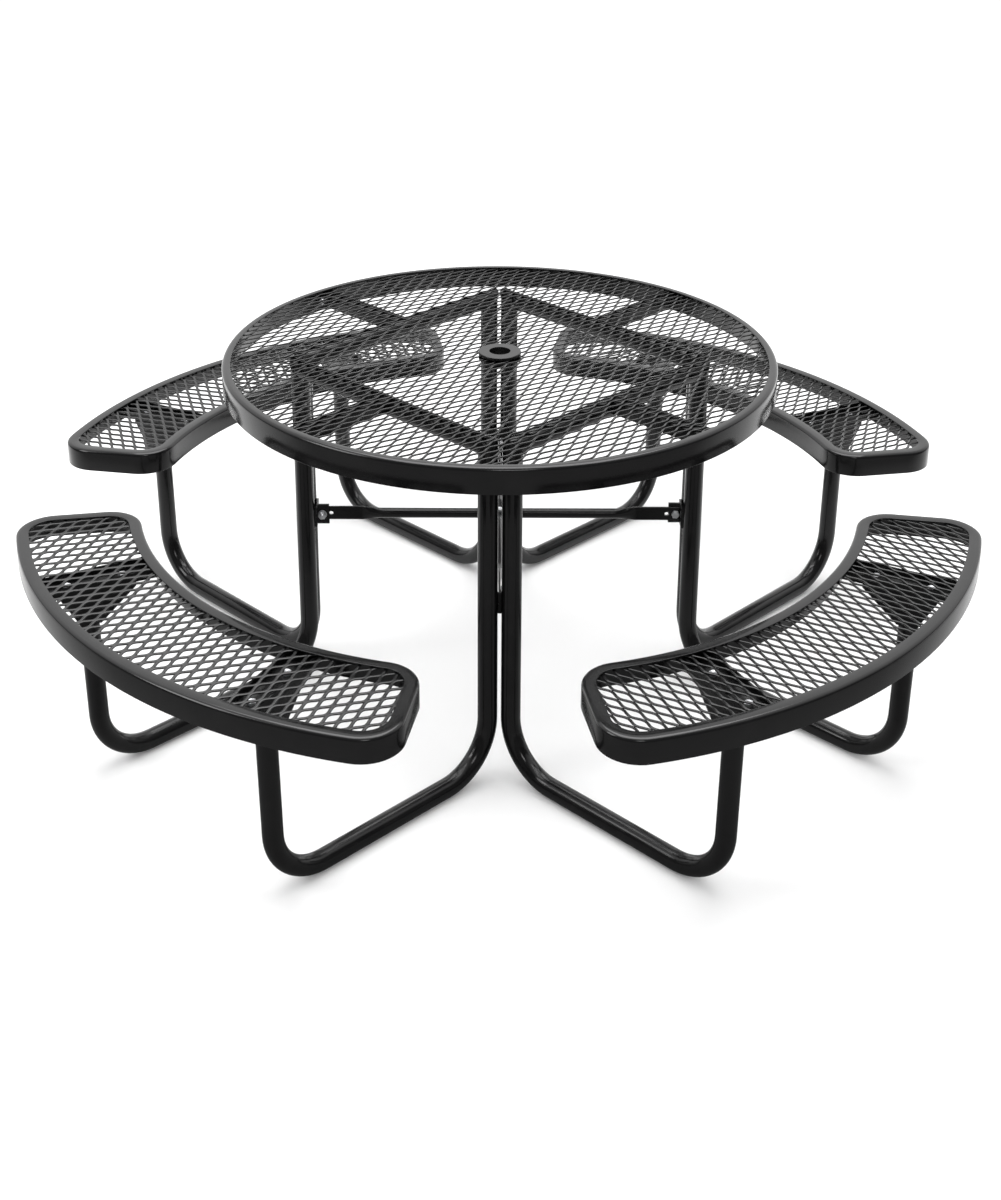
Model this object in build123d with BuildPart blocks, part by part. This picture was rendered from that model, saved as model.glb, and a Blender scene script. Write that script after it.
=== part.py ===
"""Round picnic table with four attached curved benches, in millimetres.

The origin is on the ground under the umbrella hole and +Z is up.  The table stands on four
bench frames, one on each diagonal.  Each frame is two bent tubes (bench post, ground run and
leg) and a straight top rail under the table, with mitred corners.  Neighbouring frames put
their legs side by side as a pair on the +X, +Y, -X and -Y axes, and two crossing braces join
opposite pairs.
"""

import os
from math import asin, cos, degrees, radians, sin, sqrt, tan

from build123d import *

# Overall sizes
TABLE_HEIGHT = 762.0
TABLE_RADIUS = 584.0
TABLE_RIM_DEPTH = 54.0
BENCH_HEIGHT = 457.0
BENCH_INNER_RADIUS = 768.0
BENCH_OUTER_RADIUS = 1022.0
BENCH_SPAN = 70.4
BENCH_CORNER_RADIUS = 75.0
BENCH_RIM_DEPTH = 50.0

# Rolled rims and the expanded-metal sheets that lie under their lips
RIM_SHEET = 3.0
RIM_EDGE_RADIUS = 8.0
TABLE_LIP = 18.0
BENCH_LIP = 26.0
MESH_THICKNESS = 6.0
MESH_INSET = RIM_EDGE_RADIUS + 1.0

# Bent tube frames
TUBE_OD = 40.0
TUBE_WALL = 2.5
LEG_RADIUS = 422.0
PAIR_GAP = 7.0
POST_OUTSET = 19.5
POST_LEAN = 1.0
TUBE_BEND = 115.0

# Seat channel, the U-section across each bench, and the bracket on each post that carries it
CHANNEL_WIDTH = 60.0
CHANNEL_DEPTH = 20.0
CHANNEL_SHEET = 4.0
BRACKET_SHEET = 5.0
BRACKET_LENGTH = 150.0
BRACKET_DEPTH = 75.0
BRACKET_CLEARANCE = 1.0
SEAT_BOLT_SPREAD = 110.0

# Table arms, from each top rail out to the rim, and the tabs that hold them to it
ARM_WIDTH = 40.0
ARM_DEPTH = 25.0
ARM_SHEET = 3.0
ARM_END_GAP = 4.0
TAB_SHEET = 4.0
TAB_LENGTH = 40.0
TAB_HEIGHT = 19.0
TAB_DROP = 1.0
TAB_BOLT_INSET = 21.0

# Cross braces with flattened ends and a flattened middle
BRACE_HEIGHT = 383.0
BRACE_OD = 22.0
BRACE_WALL = 2.0
BRACE_FLAT_WIDTH = 32.0
BRACE_FLAT_SHEET = 5.0
BRACE_END_FLAT = 96.0
BRACE_END_TAPER = 45.0
BRACE_MIDDLE_FLAT = 20.0
BRACE_MIDDLE_TAPER = 28.0
BRACE_BOLT_INSET = 10.0
BRACE_SPARE_HOLE_STEP = 19.0
BRACE_END_GAP = 1.0

# Lugs between each pair of legs
LUG_SHEET = 5.0
LUG_EAR_SHEET = 6.0
LUG_EDGE = 1.5
LUG_HEIGHT = 46.0
LUG_EAR_REACH = 15.0

# Umbrella collar
UMBRELLA_HOLE = 45.0
COLLAR_FLANGE_OD = 90.0
COLLAR_FLANGE_SHEET = 6.0
COLLAR_SLEEVE_OD = 57.0
COLLAR_SLEEVE_DROP = 18.0
COLLAR_CORNER = 2.0
BACKING_SHEET = 5.0

# Fasteners: shank, across flats, head height, nut height
M10 = {"shank": 10.0, "flats": 16.0, "head": 6.4, "nut": 8.4, "washer_od": 20.0, "washer": 2.0}
M8 = {"shank": 8.0, "flats": 13.0, "head": 5.3, "nut": 6.8, "washer_od": 16.0, "washer": 1.6}
HOLE_CLEARANCE = 1.0
BOLT_TAIL = 4.0

CORNERS = {"front_right": -45, "back_right": 45, "back_left": 135, "front_left": 225}
SIDES = {"right": 0, "back": 90, "left": 180, "front": 270}

# Heights and places that follow from the sizes above
TUBE_RADIUS = TUBE_OD / 2
MESH_TOP = TABLE_HEIGHT - RIM_SHEET
MESH_BOTTOM = MESH_TOP - MESH_THICKNESS
RAIL_HEIGHT = MESH_BOTTOM - TUBE_RADIUS
CHANNEL_TOP = BENCH_HEIGHT - RIM_SHEET - MESH_THICKNESS
CHANNEL_BOTTOM = CHANNEL_TOP - CHANNEL_DEPTH
POST_TOP = CHANNEL_BOTTOM - BRACKET_SHEET
PAIR_OFFSET = (TUBE_OD + PAIR_GAP) / 2
LEG_U = (LEG_RADIUS + PAIR_OFFSET) / sqrt(2)
SIDE_V = (LEG_RADIUS - PAIR_OFFSET) / sqrt(2)
BENCH_MIDDLE = (BENCH_INNER_RADIUS + BENCH_OUTER_RADIUS) / 2
POST_RADIUS = BENCH_MIDDLE + POST_OUTSET
POST_ANGLE = degrees(asin(SIDE_V / POST_RADIUS))
POST_TOP_U = POST_RADIUS * cos(radians(POST_ANGLE))
POST_REACH = POST_TOP_U - (POST_TOP - TUBE_RADIUS) * tan(radians(POST_LEAN))
LUG_WIDTH = 2 * (PAIR_OFFSET + LUG_EDGE)
LUG_FACE = LEG_RADIUS - TUBE_RADIUS - LUG_SHEET
BRACE_BOLT_RADIUS = LUG_FACE - BRACE_BOLT_INSET
RIM_WALL_RADIUS = TABLE_RADIUS - RIM_SHEET
TAB_TOP = MESH_BOTTOM - ARM_SHEET - TAB_DROP
TAB_BOLT_RADIUS = RIM_WALL_RADIUS - TAB_BOLT_INSET
TAB_BOLT_HEIGHT = TAB_TOP - TAB_HEIGHT / 2


def write(part, name, angle=0):
    """Turn a part about the vertical axis, label it and write its STEP file."""
    piece = part.rotate(Axis.Z, angle)
    piece.label = name
    export_step(piece, f"parts/{name}.step")
    print(f"{name:28s} solids {len(piece.solids()):2d}  volume {piece.volume / 1000:9.1f} cm3")


def polar(radius, angle):
    """Point on the ground plane at a radius and an angle in degrees."""
    return Vector(radius * cos(radians(angle)), radius * sin(radians(angle)), 0)


# ---------------------------------------------------------------- rims and sheets


def table_rim():
    """Rolled band: upright wall, rounded shoulder and a flat lip turned inward."""
    bottom = TABLE_HEIGHT - TABLE_RIM_DEPTH
    with BuildPart() as hollow:
        with BuildSketch(Plane.XY.offset(bottom)):
            Circle(RIM_WALL_RADIUS)
        extrude(amount=TABLE_RIM_DEPTH - RIM_SHEET)
        fillet(hollow.edges().group_by(Axis.Z)[-1], RIM_EDGE_RADIUS - RIM_SHEET)
    with BuildPart() as rim:
        with BuildSketch(Plane.XY.offset(bottom)):
            Circle(TABLE_RADIUS)
        extrude(amount=TABLE_RIM_DEPTH)
        fillet(rim.edges().group_by(Axis.Z)[-1], RIM_EDGE_RADIUS)
        add(hollow.part, mode=Mode.SUBTRACT)
        with BuildSketch(Plane.XY.offset(MESH_TOP)):
            Circle(TABLE_RADIUS - TABLE_LIP)
        extrude(amount=RIM_SHEET, mode=Mode.SUBTRACT)
    return rim.part


def table_mesh():
    """Round sheet under the lip, with a hole for the umbrella collar's sleeve."""
    with BuildPart() as mesh:
        with BuildSketch(Plane.XY.offset(MESH_BOTTOM)):
            Circle(TABLE_RADIUS - MESH_INSET)
            Circle(COLLAR_SLEEVE_OD / 2, mode=Mode.SUBTRACT)
        extrude(amount=MESH_THICKNESS)
    return mesh.part


def bench_outline(height, inset):
    """Curved bench plan on the +X side, moved inward by an inset."""
    with BuildSketch(Plane.XY.offset(height)) as plan:
        with BuildLine():
            outer = CenterArc((0, 0), BENCH_OUTER_RADIUS, -BENCH_SPAN / 2, BENCH_SPAN)
            inner = CenterArc((0, 0), BENCH_INNER_RADIUS, -BENCH_SPAN / 2, BENCH_SPAN)
            Line(outer @ 0, inner @ 0)
            Line(outer @ 1, inner @ 1)
        make_face()
        fillet(plan.vertices(), BENCH_CORNER_RADIUS)
        if inset:
            offset(amount=-inset, mode=Mode.REPLACE)
    return plan.sketch


def bench_rim():
    """Rolled band round the bench, open below, with a lip turned inward on top."""
    bottom = BENCH_HEIGHT - BENCH_RIM_DEPTH
    with BuildPart() as hollow:
        add(bench_outline(bottom, RIM_SHEET))
        extrude(amount=BENCH_RIM_DEPTH - RIM_SHEET)
        fillet(hollow.edges().group_by(Axis.Z)[-1], RIM_EDGE_RADIUS - RIM_SHEET)
    with BuildPart() as rim:
        add(bench_outline(bottom, 0))
        extrude(amount=BENCH_RIM_DEPTH)
        fillet(rim.edges().group_by(Axis.Z)[-1], RIM_EDGE_RADIUS)
        add(hollow.part, mode=Mode.SUBTRACT)
        add(bench_outline(BENCH_HEIGHT - RIM_SHEET, BENCH_LIP))
        extrude(amount=RIM_SHEET, mode=Mode.SUBTRACT)
    return rim.part


def bench_mesh():
    """Curved sheet that lies under the bench rim's lip."""
    with BuildPart() as mesh:
        add(bench_outline(CHANNEL_TOP, MESH_INSET))
        extrude(amount=MESH_THICKNESS)
    return mesh.part


# ---------------------------------------------------------------- frames


def leg_path():
    """Centre line of one bent tube on the +X side, from above the post to above the rail."""
    lean = tan(radians(POST_LEAN)) * (POST_TOP + TUBE_OD - TUBE_RADIUS)
    points = [
        (POST_REACH + lean, SIDE_V, POST_TOP + TUBE_OD),
        (POST_REACH, SIDE_V, TUBE_RADIUS),
        (LEG_U, SIDE_V, TUBE_RADIUS),
        (LEG_U, SIDE_V, RAIL_HEIGHT + TUBE_OD),
    ]
    with BuildLine() as path:
        FilletPolyline(*points, radius=TUBE_BEND)
    return path.line


def mitre_plane():
    """Plane where the leg on the +Y side meets the top rail, facing the rail."""
    return Plane(origin=(LEG_U, SIDE_V, RAIL_HEIGHT), x_dir=(1, 0, 0), z_dir=(0, -1, 1))


def frame_leg(hand):
    """Post, ground run and leg in one tube, cut level at the post and mitred at the leg."""
    path = leg_path()
    with BuildPart() as leg:
        with BuildSketch(Plane(origin=path @ 0, z_dir=path % 0)):
            Circle(TUBE_RADIUS)
            Circle(TUBE_RADIUS - TUBE_WALL, mode=Mode.SUBTRACT)
        sweep(path=path)
        with BuildSketch(Plane.XY.offset(POST_TOP)):
            with Locations((POST_TOP_U, SIDE_V)):
                Rectangle(3 * TUBE_OD, 3 * TUBE_OD)
        extrude(amount=2 * TUBE_OD, mode=Mode.SUBTRACT)
        split(bisect_by=mitre_plane(), keep=Keep.BOTTOM)
    return leg.part if hand == "left" else leg.part.mirror(Plane.XZ)


def frame_rail():
    """Straight tube between the two legs, mitred at both ends."""
    reach = SIDE_V + TUBE_OD
    with BuildPart() as rail:
        with BuildSketch(Plane.XZ.offset(-reach)):
            with Locations((LEG_U, RAIL_HEIGHT)):
                Circle(TUBE_RADIUS)
                Circle(TUBE_RADIUS - TUBE_WALL, mode=Mode.SUBTRACT)
        extrude(amount=2 * reach)
        split(bisect_by=mitre_plane(), keep=Keep.TOP)
    with BuildPart() as mitred:
        add(rail.part)
        add(rail.part.mirror(Plane.XZ), mode=Mode.INTERSECT)
    return mitred.part


def rail_core():
    """Solid bar where the top rail runs, used to cope the arm's inner end."""
    with BuildPart() as core:
        with BuildSketch(Plane.XZ.offset(-SIDE_V / 2)):
            with Locations((LEG_U, RAIL_HEIGHT)):
                Circle(TUBE_RADIUS)
        extrude(amount=SIDE_V)
    return core.part


# ---------------------------------------------------------------- bench supports


def across_bench(angle, radius, height):
    """Workplane at a place on the bench, with its X axis pointing outward."""
    return Plane(origin=polar(radius, angle) + Vector(0, 0, height), x_dir=polar(1, angle))


def seat_channel(angle):
    """U-section across the bench, coped to the rim walls and drilled for two bolts."""
    with BuildPart() as channel:
        plane = across_bench(angle, BENCH_MIDDLE, CHANNEL_BOTTOM)
        length = 1.5 * (BENCH_OUTER_RADIUS - BENCH_INNER_RADIUS)
        with BuildSketch(plane):
            Rectangle(length, CHANNEL_WIDTH)
        extrude(amount=CHANNEL_DEPTH)
        with BuildSketch(plane.offset(CHANNEL_SHEET)):
            Rectangle(length, CHANNEL_WIDTH - 2 * CHANNEL_SHEET)
        extrude(amount=CHANNEL_DEPTH, mode=Mode.SUBTRACT)
        with BuildSketch(plane):
            with GridLocations(SEAT_BOLT_SPREAD, 0, 2, 1):
                Circle((M10["shank"] + HOLE_CLEARANCE) / 2)
        extrude(amount=CHANNEL_SHEET, mode=Mode.SUBTRACT)
        add(bench_outline(CHANNEL_BOTTOM, RIM_SHEET))
        extrude(amount=CHANNEL_DEPTH, mode=Mode.INTERSECT)
    return channel.part


def post_bracket(angle):
    """Inverted channel over the post's top, with flanges that taper down to the tube."""
    inner_width = TUBE_OD + BRACKET_CLEARANCE
    outer_width = inner_width + 2 * BRACKET_SHEET
    plane = across_bench(angle, BENCH_MIDDLE, CHANNEL_BOTTOM)
    side_origin = plane.origin - plane.y_dir * outer_width / 2
    with BuildPart() as bracket:
        side = Plane(origin=side_origin, x_dir=plane.x_dir, z_dir=-plane.y_dir)
        with BuildSketch(side):
            with BuildLine():
                Polyline(
                    (-BRACKET_LENGTH / 2, 0),
                    (BRACKET_LENGTH / 2, 0),
                    (BRACKET_LENGTH / 2, -2 * BRACKET_SHEET),
                    (POST_OUTSET + TUBE_RADIUS, -BRACKET_DEPTH),
                    (POST_OUTSET - TUBE_RADIUS, -BRACKET_DEPTH),
                    (-BRACKET_LENGTH / 2, -2 * BRACKET_SHEET),
                    close=True,
                )
            make_face()
        extrude(amount=-outer_width)
        with BuildSketch(plane.offset(-BRACKET_SHEET)):
            Rectangle(2 * BRACKET_LENGTH, inner_width)
        extrude(amount=-BRACKET_DEPTH, mode=Mode.SUBTRACT)
        with BuildSketch(plane):
            with GridLocations(SEAT_BOLT_SPREAD, 0, 2, 1):
                Circle((M10["shank"] + HOLE_CLEARANCE) / 2)
        extrude(amount=-BRACKET_SHEET, mode=Mode.SUBTRACT)
    return bracket.part


# ---------------------------------------------------------------- table arms


def arm_bolt_plane():
    """Workplane of the bolt head on the outside of the arm's flange."""
    place = (TAB_BOLT_RADIUS, ARM_WIDTH / 2, TAB_BOLT_HEIGHT)
    return Plane(origin=place, x_dir=(1, 0, 0), z_dir=(0, 1, 0))


def table_arm():
    """Inverted channel from the top rail out to the rim, coped over the rail's side."""
    end = RIM_WALL_RADIUS - ARM_END_GAP
    length = end - LEG_U
    core = rail_core()
    with BuildPart() as arm:
        plane = Plane(origin=(LEG_U, 0, MESH_BOTTOM))
        with BuildSketch(plane):
            Rectangle(length, ARM_WIDTH, align=(Align.MIN, Align.CENTER))
        extrude(amount=-ARM_DEPTH)
        with BuildSketch(plane.offset(-ARM_SHEET)):
            Rectangle(length, ARM_WIDTH - 2 * ARM_SHEET, align=(Align.MIN, Align.CENTER))
        extrude(amount=-ARM_DEPTH, mode=Mode.SUBTRACT)
        add(core, mode=Mode.SUBTRACT)
        with BuildSketch(arm_bolt_plane()):
            Circle((M8["shank"] + HOLE_CLEARANCE) / 2)
        extrude(amount=-ARM_SHEET, mode=Mode.SUBTRACT)
    return arm.part


def rim_tab():
    """Upright plate welded inside the rim wall, lying against the arm's inner face."""
    outer_face = ARM_WIDTH / 2 - ARM_SHEET
    with BuildPart() as tab:
        with BuildSketch(Plane.XY.offset(TAB_TOP)):
            with Locations((TABLE_RADIUS, outer_face)):
                Rectangle(TAB_LENGTH + RIM_SHEET, TAB_SHEET, align=(Align.MAX, Align.MAX))
        extrude(amount=-TAB_HEIGHT)
        with BuildSketch(Plane.XY.offset(TAB_TOP)):
            Circle(RIM_WALL_RADIUS)
        extrude(amount=-TAB_HEIGHT, mode=Mode.INTERSECT)
        hole = Plane(
            origin=(TAB_BOLT_RADIUS, outer_face, TAB_BOLT_HEIGHT),
            x_dir=(1, 0, 0),
            z_dir=(0, 1, 0),
        )
        with BuildSketch(hole):
            Circle((M8["shank"] + HOLE_CLEARANCE) / 2)
        extrude(amount=-TAB_SHEET, mode=Mode.SUBTRACT)
    return tab.part


# ---------------------------------------------------------------- braces and lugs


def flat_section(width_axis_up):
    """Flattened tube section, standing on edge or lying flat."""
    turn = 90 if width_axis_up else 0
    SlotOverall(BRACE_FLAT_WIDTH, BRACE_FLAT_SHEET, rotation=turn)


def cross_brace(middle_drop):
    """Brace along X: tube with upright flattened ends and a level flattened middle."""
    end = LUG_FACE - BRACE_END_GAP
    end_flat = end - BRACE_END_FLAT
    end_tube = end_flat - BRACE_END_TAPER
    middle_tube = BRACE_MIDDLE_FLAT + BRACE_MIDDLE_TAPER

    def station(x, drop=0.0):
        return Plane(origin=(x, 0, BRACE_HEIGHT + drop), x_dir=(0, 1, 0), z_dir=(1, 0, 0))

    with BuildPart() as half:
        with BuildSketch(station(0, middle_drop)):
            flat_section(width_axis_up=False)
        extrude(amount=BRACE_MIDDLE_FLAT)
        with BuildSketch(station(BRACE_MIDDLE_FLAT, middle_drop)):
            flat_section(width_axis_up=False)
        with BuildSketch(station(middle_tube)):
            Circle(BRACE_OD / 2)
        loft()
        with BuildSketch(station(middle_tube)):
            Circle(BRACE_OD / 2)
        extrude(amount=end_tube - middle_tube)
        with BuildSketch(station(end_tube)):
            Circle(BRACE_OD / 2)
        with BuildSketch(station(end_flat)):
            flat_section(width_axis_up=True)
        loft()
        with BuildSketch(station(end_flat)):
            flat_section(width_axis_up=True)
        extrude(amount=BRACE_END_FLAT)
        with BuildSketch(station(middle_tube)):
            Circle(BRACE_OD / 2 - BRACE_WALL)
        extrude(amount=end_tube - middle_tube, mode=Mode.SUBTRACT)
        holes = Plane(origin=(0, 0, BRACE_HEIGHT), x_dir=(1, 0, 0), z_dir=(0, -1, 0))
        with BuildSketch(holes.offset(-BRACE_FLAT_SHEET)):
            with Locations((BRACE_BOLT_RADIUS, 0)):
                Circle((M10["shank"] + HOLE_CLEARANCE) / 2)
            with Locations((BRACE_BOLT_RADIUS - BRACE_SPARE_HOLE_STEP, 0)):
                Circle((M8["shank"] + HOLE_CLEARANCE) / 2)
        extrude(amount=2 * BRACE_FLAT_SHEET, mode=Mode.SUBTRACT)
    with BuildPart() as brace:
        add(half.part)
        mirror(about=Plane.YZ)
        with BuildSketch(Plane.XY.offset(BRACE_HEIGHT - BRACE_OD)):
            Circle((M10["shank"] + HOLE_CLEARANCE) / 2)
        extrude(amount=2 * BRACE_OD, mode=Mode.SUBTRACT)
    return brace.part


def brace_lug():
    """Angle across both legs of the +X pair: a plate on the tubes and a drilled ear."""
    plate_face = LEG_RADIUS - TUBE_RADIUS
    ear_face = BRACE_FLAT_SHEET / 2
    ear_inner = BRACE_BOLT_RADIUS - LUG_EAR_REACH
    with BuildPart() as lug:
        with BuildSketch(Plane.XY.offset(BRACE_HEIGHT - LUG_HEIGHT / 2)):
            with Locations((plate_face, 0)):
                Rectangle(LUG_SHEET, LUG_WIDTH, align=(Align.MAX, Align.CENTER))
            with Locations((ear_inner, ear_face)):
                Rectangle(plate_face - ear_inner, LUG_EAR_SHEET, align=(Align.MIN, Align.MIN))
        extrude(amount=LUG_HEIGHT)
        hole = Plane(
            origin=(BRACE_BOLT_RADIUS, ear_face, BRACE_HEIGHT),
            x_dir=(1, 0, 0),
            z_dir=(0, -1, 0),
        )
        with BuildSketch(hole):
            Circle((M10["shank"] + HOLE_CLEARANCE) / 2)
        extrude(amount=-LUG_EAR_SHEET, mode=Mode.SUBTRACT)
    return lug.part


# ---------------------------------------------------------------- umbrella collar


def umbrella_collar():
    """Flanged sleeve that lines the umbrella hole."""
    flange_top = MESH_TOP + COLLAR_FLANGE_SHEET
    with BuildPart() as collar:
        with BuildSketch(Plane.XY.offset(MESH_TOP)):
            Circle(COLLAR_FLANGE_OD / 2)
        extrude(amount=COLLAR_FLANGE_SHEET)
        fillet(collar.edges().group_by(Axis.Z)[-1], COLLAR_CORNER)
        with BuildSketch(Plane.XY.offset(MESH_BOTTOM - COLLAR_SLEEVE_DROP)):
            Circle(COLLAR_SLEEVE_OD / 2)
        extrude(amount=MESH_THICKNESS + COLLAR_SLEEVE_DROP)
        with BuildSketch(Plane.XY.offset(flange_top)):
            Circle(UMBRELLA_HOLE / 2)
        extrude(amount=-2 * (COLLAR_SLEEVE_DROP + flange_top - MESH_BOTTOM), mode=Mode.SUBTRACT)
    return collar.part


def collar_backing_ring():
    """Ring round the sleeve that clamps the sheet from below."""
    with BuildPart() as ring:
        with BuildSketch(Plane.XY.offset(MESH_BOTTOM)):
            Circle(COLLAR_FLANGE_OD / 2)
            Circle(COLLAR_SLEEVE_OD / 2, mode=Mode.SUBTRACT)
        extrude(amount=-BACKING_SHEET)
    return ring.part


# ---------------------------------------------------------------- fasteners


def hex_bolt(plane, size, grip):
    """Hex bolt: its head sits above the plane and its shank runs down through the grip."""
    with BuildPart() as bolt:
        with BuildSketch(plane):
            RegularPolygon(size["flats"] / 2, 6, major_radius=False)
        extrude(amount=size["head"])
        with BuildSketch(plane):
            Circle(size["shank"] / 2)
        extrude(amount=-(grip + size["washer"] + size["nut"] + BOLT_TAIL))
    return bolt.part


def washer_and_nut(plane, size, grip):
    """Washer and nut, two solids, on the far side of the grip."""
    far = plane.offset(-grip)
    with BuildPart() as washer:
        with BuildSketch(far):
            Circle(size["washer_od"] / 2)
            Circle(size["shank"] / 2, mode=Mode.SUBTRACT)
        extrude(amount=-size["washer"])
    with BuildPart() as nut:
        with BuildSketch(far.offset(-size["washer"])):
            RegularPolygon(size["flats"] / 2, 6, major_radius=False)
            Circle(size["shank"] / 2, mode=Mode.SUBTRACT)
        extrude(amount=-size["nut"])
    return [washer.part, nut.part]


def group(parts, angles):
    """Compound of separate solids, each part repeated about the vertical axis."""
    return Compound([part.rotate(Axis.Z, a) for a in angles for part in parts])


def seat_bolt_planes():
    """Workplanes of the two bolt heads in each of a bench's two seat channels."""
    height = CHANNEL_BOTTOM + CHANNEL_SHEET
    spread = SEAT_BOLT_SPREAD / 2
    return [
        across_bench(angle, BENCH_MIDDLE + shift, height)
        for angle in (-POST_ANGLE, POST_ANGLE)
        for shift in (-spread, spread)
    ]


def brace_bolt_plane():
    """Workplane of the bolt head on the flattened brace end of the +X pair."""
    place = (BRACE_BOLT_RADIUS, -BRACE_FLAT_SHEET / 2, BRACE_HEIGHT)
    return Plane(origin=place, x_dir=(0, 0, 1), z_dir=(0, -1, 0))


def write_fasteners():
    """Write each family of bolts, washers and nuts as a group of separate solids."""
    centre = Plane.XY.offset(BRACE_HEIGHT + BRACE_FLAT_SHEET)
    families = [
        ("seat", M10, seat_bolt_planes(), CHANNEL_SHEET + BRACKET_SHEET, CORNERS.values()),
        ("arm", M8, [arm_bolt_plane()], ARM_SHEET + TAB_SHEET, CORNERS.values()),
        ("brace", M10, [brace_bolt_plane()], BRACE_FLAT_SHEET + LUG_EAR_SHEET, SIDES.values()),
        ("crossing", M10, [centre], 2 * BRACE_FLAT_SHEET, [0]),
    ]
    for name, size, planes, grip, angles in families:
        bolts = [hex_bolt(plane, size, grip) for plane in planes]
        nuts = [piece for plane in planes for piece in washer_and_nut(plane, size, grip)]
        write(group(bolts, angles), f"{name}_bolts")
        write(group(nuts, angles), f"{name}_nuts_washers")


def main():
    """Make every piece and write it to the parts folder."""
    os.makedirs("parts", exist_ok=True)
    write(table_rim(), "table_rim")
    write(table_mesh(), "table_mesh")
    write(umbrella_collar(), "umbrella_collar")
    write(collar_backing_ring(), "collar_backing_ring")
    write(group([rim_tab()], CORNERS.values()), "rim_tabs")

    rail, rim, mesh, arm = frame_rail(), bench_rim(), bench_mesh(), table_arm()
    supports = {
        hand: (frame_leg(hand), seat_channel(angle), post_bracket(angle))
        for hand, angle in (("right", -POST_ANGLE), ("left", POST_ANGLE))
    }
    for corner, angle in CORNERS.items():
        write(rail, f"frame_rail_{corner}", angle)
        write(rim, f"bench_rim_{corner}", angle)
        write(mesh, f"bench_mesh_{corner}", angle)
        write(arm, f"table_arm_{corner}", angle)
        for hand, (leg, channel, bracket) in supports.items():
            write(leg, f"frame_leg_{corner}_{hand}", angle)
            write(channel, f"seat_channel_{corner}_{hand}", angle)
            write(bracket, f"post_bracket_{corner}_{hand}", angle)

    lug = brace_lug()
    for side, angle in SIDES.items():
        write(lug, f"brace_lug_{side}", angle)
    write(cross_brace(-BRACE_FLAT_SHEET / 2), "cross_brace_side_to_side")
    write(cross_brace(BRACE_FLAT_SHEET / 2), "cross_brace_front_to_back", 90)
    write_fasteners()


if __name__ == "__main__":
    main()
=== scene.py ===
"""Looks of the round picnic table: expanded-metal sheets, coated steel, zinc bolts and welds.

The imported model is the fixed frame.  Sheets, bolts and welds are built here and stand for, or sit
on, its nodes.  Everything is in metres, with the origin on the ground under the umbrella hole.
"""

import logging
import math
from dataclasses import dataclass, field
from enum import Enum
from typing import Callable, Iterable, Sequence

import bmesh
import bpy
from mathutils import Matrix, Vector


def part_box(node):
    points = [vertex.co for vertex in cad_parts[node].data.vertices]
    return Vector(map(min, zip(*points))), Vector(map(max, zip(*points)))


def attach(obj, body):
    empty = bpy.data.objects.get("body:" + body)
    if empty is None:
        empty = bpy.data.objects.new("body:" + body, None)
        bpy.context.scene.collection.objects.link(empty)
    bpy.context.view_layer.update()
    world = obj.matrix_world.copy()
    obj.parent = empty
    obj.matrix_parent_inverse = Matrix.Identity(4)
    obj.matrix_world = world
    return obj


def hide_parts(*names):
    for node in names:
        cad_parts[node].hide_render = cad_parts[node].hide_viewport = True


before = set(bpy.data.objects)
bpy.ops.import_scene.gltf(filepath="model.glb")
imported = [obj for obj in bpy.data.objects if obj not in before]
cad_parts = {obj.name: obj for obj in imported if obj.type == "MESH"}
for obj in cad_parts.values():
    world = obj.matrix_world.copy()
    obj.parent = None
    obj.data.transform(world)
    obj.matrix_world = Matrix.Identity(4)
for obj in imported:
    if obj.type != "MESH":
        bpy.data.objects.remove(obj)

LOG = logging.getLogger("picnic_table")
BODY = "root"
MM = 0.001
CORNERS = {"front_right": -45.0, "back_right": 45.0, "back_left": 135.0, "front_left": 225.0}
SIDES = {"right": 0.0, "back": 90.0, "left": 180.0, "front": 270.0}


class Slot(Enum):
    """Material slots of the record."""

    COATING = "black_coating"
    SHEET = "coated_mesh"
    ZINC = "zinc"


# ---------------------------------------------------------------- node helpers


def link(tree: bpy.types.NodeTree, source: bpy.types.NodeSocket, target: bpy.types.NodeSocket) -> None:
    """Join two sockets."""
    tree.links.new(source, target)


def math_node(tree: bpy.types.NodeTree, operation: str, *values: object) -> bpy.types.NodeSocket:
    """Add a Math node.

    Args:
        tree: The node tree that gets the node.
        operation: The Math node's operation, such as MULTIPLY.
        values: Up to three numbers or sockets for its inputs.

    Returns:
        The node's output socket.
    """
    node = tree.nodes.new("ShaderNodeMath")
    node.operation = operation
    for i, value in enumerate(values):
        if isinstance(value, bpy.types.NodeSocket):
            link(tree, value, node.inputs[i])
        else:
            node.inputs[i].default_value = value
    return node.outputs[0]


def add_input(tree: bpy.types.NodeTree, name: str, kind: str, value: object = None) -> str:
    """Add a named input to a node group.

    Args:
        tree: The node group.
        name: The input's name.
        kind: The socket type.
        value: Its default, where it has one.

    Returns:
        The socket's identifier.
    """
    socket = tree.interface.new_socket(name=name, in_out="INPUT", socket_type=kind)
    if value is not None:
        socket.default_value = value
    return socket.identifier


def add_output(tree: bpy.types.NodeTree, name: str, kind: str) -> None:
    """Add a named output to a node group."""
    tree.interface.new_socket(name=name, in_out="OUTPUT", socket_type=kind)


# ---------------------------------------------------------------- finishes


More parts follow.
